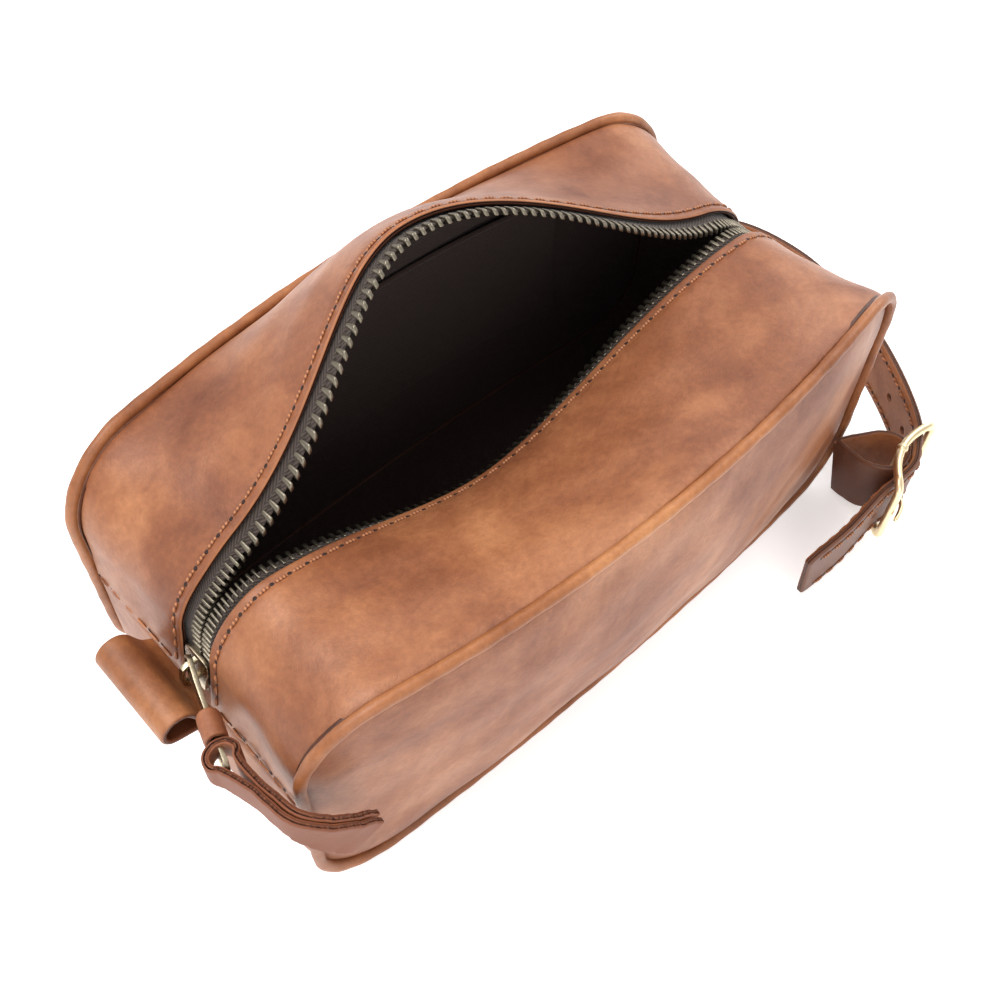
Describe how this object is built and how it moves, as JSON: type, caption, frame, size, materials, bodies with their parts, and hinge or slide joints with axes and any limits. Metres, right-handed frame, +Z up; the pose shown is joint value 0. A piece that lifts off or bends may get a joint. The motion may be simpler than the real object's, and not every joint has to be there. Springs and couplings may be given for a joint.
{
  "type": "shaving kit bag",
  "caption": "Box-shaped leather wash bag with piped ends, an open metal zip along the top, a thonged pull, an end tab and a buckled side handle.",
  "frame": {"origin": "middle of the flat underside of the bag", "axes": "+X along the bag, from the end with the zip slider and tab at -X to the end with the handle at +X; -Y the front panel; +Z up"},
  "size_m": [0.2964, 0.158, 0.1498],
  "materials": {
    "body_leather": "oiled pull-up leather, mottled brown, satin",
    "piping_leather": "the same leather rolled thin round a cord, rubbed lighter along its crown",
    "strap_leather": "brown leather with a waxed grain side, a grey-brown flesh side and lighter cut edges",
    "lining": "dark brown woven cloth, matt",
    "piping_core": "natural cotton cord",
    "zip_tape": "dark herringbone woven tape, matt",
    "zip_teeth": "antique brass, dulled",
    "slider_metal": "pale antique brass, worn bright on its edges",
    "buckle_metal": "satin pale gold plating"
  },
  "bodies": {
    "bag": {"front_panel": "body_leather", "back_panel": "body_leather", "front_lining": "lining", "back_lining": "lining", "inner_pocket": "lining", "front_piping": "piping_leather", "front_piping_cord": "piping_core", "back_piping": "piping_leather", "back_piping_cord": "piping_core", "top_panel_front": "body_leather", "top_lining_front": "lining", "top_panel_back": "body_leather", "top_lining_back": "lining", "base_gusset": "body_leather", "base_lining": "lining", "zip_bottom_stop": "zip_teeth", "zip_top_stop_front": "zip_teeth", "zip_top_stop_back": "zip_teeth", "end_tab": "strap_leather"},
    "front_lip": {"zip_tape_front": "zip_tape", "zip_chain_front": "zip_teeth"},
    "back_lip": {"zip_tape_back": "zip_tape", "zip_chain_back": "zip_teeth"},
    "slider": {"zip_slider": "slider_metal"},
    "pull": {"zip_pull": "slider_metal", "thong_collar": "strap_leather"},
    "thong": {"thong": "strap_leather"},
    "handle": {"strap_long": "strap_leather", "strap_chape": "strap_leather", "buckle_frame": "buckle_metal"},
    "prong": {"buckle_prong": "buckle_metal"}
  },
  "joints": [
    {"name": "slider_travel", "type": "hinge", "parent": "bag", "child": "slider", "pos_m": [0.00425, 0, -0.02299], "axis": [0, 1, 0], "range_deg": [0, 88], "deforming": ["thong"]},
    {"name": "front_lip_close", "type": "hinge", "parent": "bag", "child": "front_lip", "pos_m": [0, -0.0635, 0.103], "axis": [1, 0, 0], "range_deg": [0, 27], "deforming": ["zip_tape_front", "zip_chain_front", "top_panel_front", "top_lining_front"]},
    {"name": "back_lip_close", "type": "hinge", "parent": "bag", "child": "back_lip", "pos_m": [0, 0.0635, 0.103], "axis": [1, 0, 0], "range_deg": [0, 47], "deforming": ["zip_tape_back", "zip_chain_back", "top_panel_back", "top_lining_back"]},
    {"name": "pull_swing", "type": "hinge", "parent": "slider", "child": "pull", "pos_m": [-0.11628, 0, 0.07164], "axis": [-0.9825, 0, 0.1861], "range_deg": [0, 80]},
    {"name": "thong_swing", "type": "hinge", "parent": "pull", "child": "thong", "pos_m": [-0.1259, -0.02947, 0.07226], "axis": [0, 0, 1], "range_deg": [-30, 0]},
    {"name": "handle_lift", "type": "hinge", "parent": "bag", "child": "handle", "pos_m": [0.1195, 0.048, 0.022], "axis": [-0.0968, -0.9923, -0.0774], "range_deg": [0, 35], "deforming": ["strap_long", "strap_chape"]},
    {"name": "prong_lift", "type": "hinge", "parent": "handle", "child": "prong", "pos_m": [0.1155, -0.0752, 0.0205], "axis": [0, 0, 1], "range_deg": [0, 25]}
  ],
  "couplings": [
    {"joint": "front_lip_close", "follows": "slider_travel", "ratio": 0.30682},
    {"joint": "back_lip_close", "follows": "slider_travel", "ratio": 0.53409}
  ]
}
